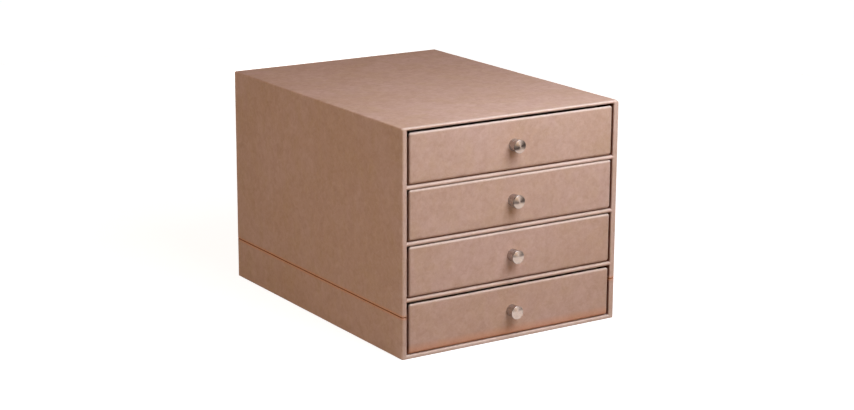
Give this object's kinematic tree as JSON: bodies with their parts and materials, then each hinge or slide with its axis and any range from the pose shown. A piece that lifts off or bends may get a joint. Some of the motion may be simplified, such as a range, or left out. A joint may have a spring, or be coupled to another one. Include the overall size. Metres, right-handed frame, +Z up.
{
  "type": "desktop drawer cabinet",
  "caption": "Desktop cabinet of wide, shallow drawers: thin board covered in leatherette, with a turned steel knob on each drawer front.",
  "frame": {"origin": "centre of the underside of the case, on the surface that it stands on", "axes": "+Z up, +Y to the back, +X to the right as seen from the front; the drawers open towards -Y"},
  "size_m": [0.26, 0.3561, 0.232],
  "materials": {
    "leatherette": "satin, washed taupe",
    "seam_edge": "matte, raw edge dyed orange-brown",
    "board": "raw",
    "lining": "matte",
    "dark_lining": "matte, dark brown",
    "base_felt": "short felt",
    "knob_steel": "spun face, turned side",
    "screw_steel": "zinc plated"
  },
  "bodies": {
    "case": {"top_board": "board", "bottom_board": "board", "left_board": "board", "right_board": "board", "back_board": "board", "left_inner_board": "board", "right_inner_board": "board", "upper_cover": "leatherette", "lower_cover": "leatherette", "seam_band": "seam_edge", "case_lining": "dark_lining", "base_sheet": "base_felt", "shelf_1": "board", "shelf_2": "board", "shelf_3": "board", "shelf_1_cover": "leatherette", "shelf_2_cover": "leatherette", "shelf_3_cover": "leatherette"},
    "drawer_1": {"drawer_1_front_board": "board", "drawer_1_left_wall": "board", "drawer_1_right_wall": "board", "drawer_1_back_wall": "board", "drawer_1_floor_board": "board", "drawer_1_cover": "leatherette", "drawer_1_lining": "lining", "drawer_1_knob": "knob_steel", "drawer_1_washer": "screw_steel", "drawer_1_screw": "screw_steel"},
    "drawer_2": {"drawer_2_front_board": "board", "drawer_2_left_wall": "board", "drawer_2_right_wall": "board", "drawer_2_back_wall": "board", "drawer_2_floor_board": "board", "drawer_2_cover": "leatherette", "drawer_2_lining": "lining", "drawer_2_knob": "knob_steel", "drawer_2_washer": "screw_steel", "drawer_2_screw": "screw_steel"},
    "drawer_3": {"drawer_3_front_board": "board", "drawer_3_left_wall": "board", "drawer_3_right_wall": "board", "drawer_3_back_wall": "board", "drawer_3_floor_board": "board", "drawer_3_cover": "leatherette", "drawer_3_lining": "lining", "drawer_3_knob": "knob_steel", "drawer_3_washer": "screw_steel", "drawer_3_screw": "screw_steel"},
    "drawer_4": {"drawer_4_front_board": "board", "drawer_4_left_wall": "board", "drawer_4_right_wall": "board", "drawer_4_back_wall": "board", "drawer_4_floor_board": "board", "drawer_4_cover": "leatherette", "drawer_4_lining": "lining", "drawer_4_knob": "knob_steel", "drawer_4_washer": "screw_steel", "drawer_4_screw": "screw_steel"}
  },
  "joints": [
    {"name": "drawer_1_slide", "type": "slide", "parent": "case", "child": "drawer_1", "axis": [0, -1, 0], "range_m": [0, 0.3]},
    {"name": "drawer_2_slide", "type": "slide", "parent": "case", "child": "drawer_2", "axis": [0, -1, 0], "range_m": [0, 0.3]},
    {"name": "drawer_3_slide", "type": "slide", "parent": "case", "child": "drawer_3", "axis": [0, -1, 0], "range_m": [0, 0.3]},
    {"name": "drawer_4_slide", "type": "slide", "parent": "case", "child": "drawer_4", "axis": [0, -1, 0], "range_m": [0, 0.3]}
  ]
}
